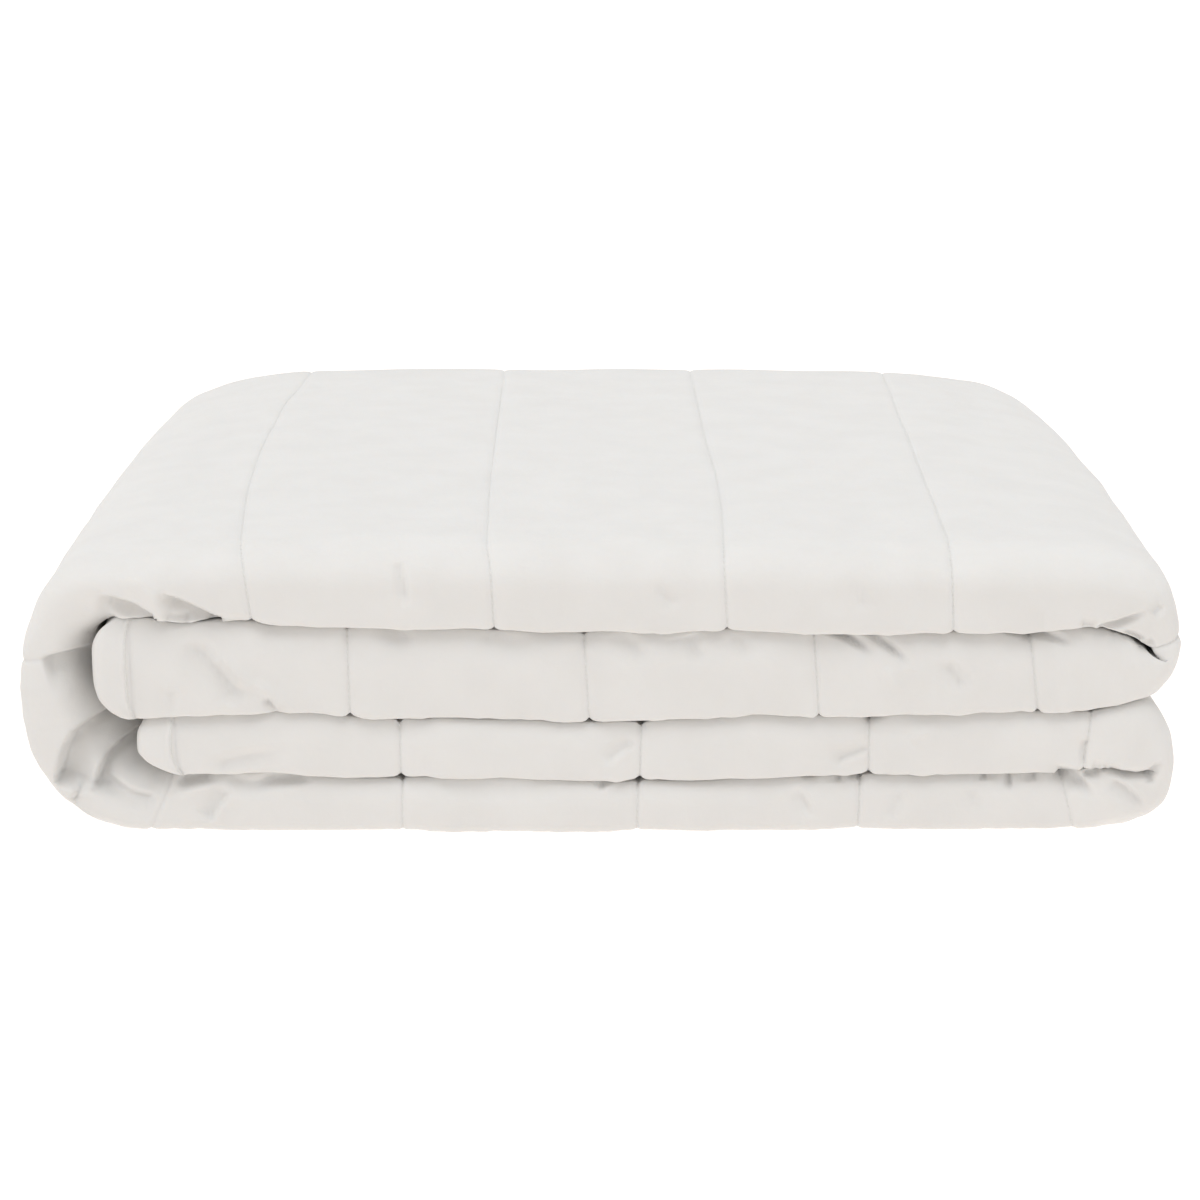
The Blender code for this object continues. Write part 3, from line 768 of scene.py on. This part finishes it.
longDeep, longWide = quilt["longHem"]
longEdge = across[:, -1:] - across
longHem = longDeep * hollow(longEdge - quilt["hem"], longWide) * (across > 0.2)
relief = quiltRelief() - longHem + hemRelief() * (1 - onFront)
hiddenFrom, shareLeft = press["hidden"]
hidden = (outN < 0) & (outY - front > hiddenFrom)
relief = np.where(hidden, np.minimum(relief, 0) * shareLeft, relief)
blanketSide = outer + normals * relief[:, :, None]
# creases press the cloth straight back, most at the very front, so that the folds stay closed
push = np.minimum(-creaseRelief(), press["most"] * plyHalf) - hemRelief() * onFront
least, growth = press["settle"]
settle = np.exp(-np.maximum(outY - front, 0) / (least + growth * abs(push)))
push = push * np.where(inZones("leftBend"), 1.0, settle)
blanketSide[:, :, 1] += push
# the inner side makes way for the deepest creases
deepest = np.stack([push[:, max(at - 5, 0):at + 6].max(axis=1) for at in pick], axis=1)
inner[:, :, 1] += np.maximum(deepest - press["inner"] * plyHalf, 0)


def roundHem(side, other):
    # each ply's end narrows to a rounded edge
    distance = np.minimum(places, places[-1] - places)
    share = np.clip(distance / quilt["hemEdge"], 0, 1)
    keep = np.maximum(np.sqrt(np.clip(1 - (1 - share) ** 2, 0, 1)), 0.12)[:, None, None]
    centre = (side + other) / 2
    return centre + (side - centre) * keep


def spreadInner(points):
    # the inner side at every sample of the outer side
    spots = np.arange(outer.shape[1])
    full = [[np.interp(spots, pick, line[:, axis]) for axis in range(3)] for line in points]
    return np.array(full).swapaxes(1, 2)


innerFull = spreadInner(inner)
blanketSide = roundHem(blanketSide, innerFull)
inner = roundHem(inner, outer[:, pick])
blanketSide[:, :, 2] = np.maximum(blanketSide[:, :, 2], 0.0)
inner[:, :, 2] = np.maximum(inner[:, :, 2], 0.0006)
print("relief added")


def countTriangles(mesh):
    return sum(len(polygon.vertices) - 2 for polygon in mesh.polygons)


def meshFromGrid(name):
    # closed rings along the strip, and a strip of faces over each hemmed end
    ring = np.concatenate([blanketSide, inner[:, ::-1]], axis=1)
    count, size = ring.shape[:2]
    index = np.arange(count * size).reshape(count, size)
    following = np.roll(index, -1, axis=1)
    quads = np.stack([index[:-1], following[:-1], following[1:], index[1:]], axis=2).reshape(-1, 4)
    faces = quads.tolist()
    for row, flip in ((0, True), (count - 1, False)):
        for i in range(len(pick) - 1):
            face = [int(at) for at in index[row, pick[i]:pick[i + 1] + 1]]
            face += [int(index[row, size - 2 - i]), int(index[row, size - 1 - i])]
            faces.append(face[::-1] if flip else face)
    mesh = bpy.data.meshes.new(name)
    mesh.from_pydata(ring.reshape(-1, 3).tolist(), [], faces)
    mesh.validate()
    acrossRing = np.concatenate([across, across[:, pick][:, ::-1]], axis=1)
    uv = np.stack([np.repeat(along[:, None], size, axis=1), acrossRing], axis=2).reshape(-1, 2)
    layer = mesh.uv_layers.new(name="clothMap")
    loopVertex = np.zeros(len(mesh.loops), np.int32)
    mesh.loops.foreach_get("vertex_index", loopVertex)
    layer.data.foreach_set("uv", uv[loopVertex].ravel())
    mesh.shade_smooth()
    return mesh


mesh = meshFromGrid("quiltedBlanket")
blanket = addObject("quiltedBlanket", mesh)
check = bmesh.new()
check.from_mesh(mesh)
volume = check.calc_volume(signed=True)
if volume < 0:
    bmesh.ops.reverse_faces(check, faces=check.faces)
    check.to_mesh(mesh)
openEdges = sum(1 for e in check.edges if not e.is_manifold)
check.free()
print("blanket triangles:", countTriangles(mesh), "open edges:", openEdges)
print("blanket litres:", round(abs(volume) * 1000, 2))


def newMaterial(name):
    material = bpy.data.materials.new(name)
    material.use_nodes = True
    return material, material.node_tree.nodes, material.node_tree.links


def setInputs(node, values):
    for socket, value in values.items():
        node.inputs[socket].default_value = value
    return node


def twoColours(nodes, links, where, shader, look):
    # the shader's colour, mixed of a dark and a light one by soft noise
    noise = setInputs(nodes.new("ShaderNodeTexNoise"), look["noise"])
    links.new(where, noise.inputs["Vector"])
    ramp = nodes.new("ShaderNodeValToRGB")
    dark, light = ramp.color_ramp.elements
    dark.position, light.position = look["share"]
    dark.color, light.color = look["dark"], look["light"]
    links.new(noise.outputs["Fac"], ramp.inputs["Fac"])
    links.new(ramp.outputs["Color"], shader.inputs["Base Color"])


# The cloth, a matt cotton: its colours, and its weave and small wrinkles, which are only in the shading
cotton = {
    "finish": {
        "Roughness": 0.88, "Subsurface Weight": 0.22, "Subsurface Scale": 0.003,
        "Subsurface Radius": (1.0, 0.82, 0.66), "Sheen Weight": 0.12, "Sheen Roughness": 0.5,
        "Specular IOR Level": 0.25,
    },
    "dark": (0.722, 0.712, 0.694, 1), "light": (0.742, 0.733, 0.716, 1), "share": (0.35, 0.65),
    "noise": {"Scale": 38, "Detail": 5},
    "yarn": {"Scale": 560, "Distortion": 1.2, "Detail": 1},
    "wrinkle": {"Scale": 95, "Detail": 4, "Roughness": 0.55},
    "wrinkleBump": {"Strength": 0.50, "Distance": 0.0010},
    "weaveBump": {"Strength": 0.20, "Distance": 0.00012},
}


def clothMaterial(name):
    material, nodes, links = newMaterial(name)
    shader = setInputs(nodes["Principled BSDF"], cotton["finish"])
    uv = nodes.new("ShaderNodeUVMap")
    uv.uv_map = "clothMap"
    twoColours(nodes, links, uv.outputs["UV"], shader, cotton)
    # plain weave with uneven yarns, over soft small wrinkles
    weave = nodes.new("ShaderNodeMath")
    weave.operation = "MAXIMUM"
    for i, direction in enumerate(("X", "Y")):
        yarn = setInputs(nodes.new("ShaderNodeTexWave"), cotton["yarn"])
        yarn.wave_type = "BANDS"
        yarn.bands_direction = direction
        links.new(uv.outputs["UV"], yarn.inputs["Vector"])
        links.new(yarn.outputs["Fac"], weave.inputs[i])
    wrinkle = setInputs(nodes.new("ShaderNodeTexNoise"), cotton["wrinkle"])
    links.new(uv.outputs["UV"], wrinkle.inputs["Vector"])
    wrinkleBump = setInputs(nodes.new("ShaderNodeBump"), cotton["wrinkleBump"])
    links.new(wrinkle.outputs["Fac"], wrinkleBump.inputs["Height"])
    weaveBump = setInputs(nodes.new("ShaderNodeBump"), cotton["weaveBump"])
    links.new(weave.outputs["Value"], weaveBump.inputs["Height"])
    links.new(wrinkleBump.outputs["Normal"], weaveBump.inputs["Normal"])
    links.new(weaveBump.outputs["Normal"], shader.inputs["Normal"])
    return material


# Stitches: short threads along the seams and the hems' lines, wherever they can be seen
thread = {
    "pitch": 0.0032, "long": 0.0024, "thick": 0.00046, "sides": 6,
    "proud": 0.00010,  # how far a thread's middle stands over the cloth
    "sunk": 0.00012,  # how deep its ends go in
    "finish": {"Roughness": 0.70, "Sheen Weight": 0.10},
    "dark": (0.69, 0.68, 0.66, 1), "light": (0.76, 0.75, 0.73, 1), "share": (0, 1),
    "noise": {"Scale": 900},
    "places": (-0.5, -0.38, 0.38, 0.5),  # a thread's rings in shares of its length, and their widths
    "widths": (0.5, 1, 1, 0.5),
}
frontSamples = np.flatnonzero((abs(across) < 0.060)[0] & (np.arange(across.shape[1]) > 8))
outerSamples = np.arange(14, frontSamples[-1] + 1)


def stitchRuns():
    # each line of stitches: its station, and the samples that it follows
    runs = []
    for place in seamPath:
        at = np.argmin(abs(places - place))
        zone = zones[stationZone[at]]
        samples = outerSamples if zone in topZones + ("lowBend",) else frontSamples
        if zone == "leftBend":
            samples = outerSamples[(outY - front)[at, outerSamples] > 0.03]
        runs.append((at, samples))
    hemLine = quilt["hem"] - quilt["hemStitches"]
    for place in (hemLine, places[-1] - hemLine):
        runs.append((np.argmin(abs(places - place)), frontSamples))
    return runs


def threadRing(at, length, line, up):
    # the points of one thread, which lies along the line at this distance from its start
    spots = at + np.array(thread["places"]) * thread["long"]
    centre = np.stack([np.interp(spots, length, line[:, axis]) for axis in range(3)], axis=1)
    rise = np.array([np.interp(at, length, up[:, axis]) for axis in range(3)])
    run = centre[3] - centre[0]
    run = run / np.linalg.norm(run)
    rise = rise - run * (rise @ run)
    rise = rise / np.linalg.norm(rise)
    beside = np.cross(run, rise)
    height = np.array([-thread["sunk"], thread["proud"], thread["proud"], -thread["sunk"]])
    radius = thread["thick"] / 2 * np.array(thread["widths"])
    turn = np.arange(thread["sides"]) * 2 * math.pi / thread["sides"]
    around = np.cos(turn)[:, None] * beside + np.sin(turn)[:, None] * rise
    centre = centre + rise * height[:, None]
    return (centre[:, None] + around[None] * radius[:, None, None]).reshape(-1, 3)


def stitchMesh(name):
    skinNormals = gridNormals(blanketSide)
    sides = thread["sides"]
    points, faces = [], []
    for place, samples in stitchRuns():
        line, up = blanketSide[place, samples], skinNormals[place, samples]
        length = pathLengths(line)
        for at in np.arange(0.5, length[-1] / thread["pitch"] - 0.5) * thread["pitch"]:
            first = 4 * sides * len(points)
            points.append(threadRing(at, length, line, up))
            for row in range(first, first + 3 * sides, sides):
                for side in range(sides):
                    following = (side + 1) % sides
                    faces.append((row + side, row + following, row + sides + following, row + sides + side))
            faces.append(tuple(first + side for side in reversed(range(sides))))
            faces.append(tuple(first + 3 * sides + side for side in range(sides)))
    mesh = bpy.data.meshes.new(name)
    mesh.from_pydata(np.concatenate(points).tolist(), [], faces)
    mesh.validate()
    mesh.shade_smooth()
    print("stitches:", len(points), "triangles:", countTriangles(mesh))
    return mesh


def threadMaterial(name):
    material, nodes, links = newMaterial(name)
    shader = setInputs(nodes["Principled BSDF"], thread["finish"])
    place = nodes.new("ShaderNodeTexCoord")
    twoColours(nodes, links, place.outputs["Object"], shader, thread)
    return material


stitchData = stitchMesh("seamStitches")
stitchData.materials.append(threadMaterial("cottonThread"))
stitches = addObject("seamStitches", stitchData)
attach(stitches, "root")
mesh.materials.append(clothMaterial("quiltedCotton"))
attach(blanket, "root")
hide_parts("blanket")
print("blanket dressed")

# The studio: a pale floor that glows, an even white sky and one soft lamp
studio = {
    "sky": 0.68, "size": 60,
    "floor": {
        "Base Color": (0.12, 0.12, 0.12, 1), "Roughness": 0.9,
        "Emission Color": (1.00, 0.950, 0.910, 1), "Emission Strength": 1.08,
    },
    "lampStrength": 1.40, "lampAngle": 50, "lampFrom": (-0.14, -0.22, 0.96),
}
bpy.ops.mesh.primitive_plane_add(size=studio["size"], location=(0, 0, 0))
floor = bpy.context.object
floor.name = "studioFloor"
floorMaterial, floorNodes = newMaterial("floorWhite")[:2]
setInputs(floorNodes["Principled BSDF"], studio["floor"])
floor.data.materials.append(floorMaterial)
world = bpy.data.worlds.new("whiteSky")
world.use_nodes = True
setInputs(world.node_tree.nodes["Background"], {"Color": (1, 1, 1, 1), "Strength": studio["sky"]})
bpy.context.scene.world = world
lamp = bpy.data.lights.new("softLamp", "SUN")
lamp.energy = studio["lampStrength"]
lamp.angle = math.radians(studio["lampAngle"])
lampObject = addObject("softLamp", lamp)
lampObject.location = studio["lampFrom"]
lampObject.rotation_euler = (-Vector(studio["lampFrom"])).to_track_quat("-Z", "Y").to_euler()

print("studio ready")
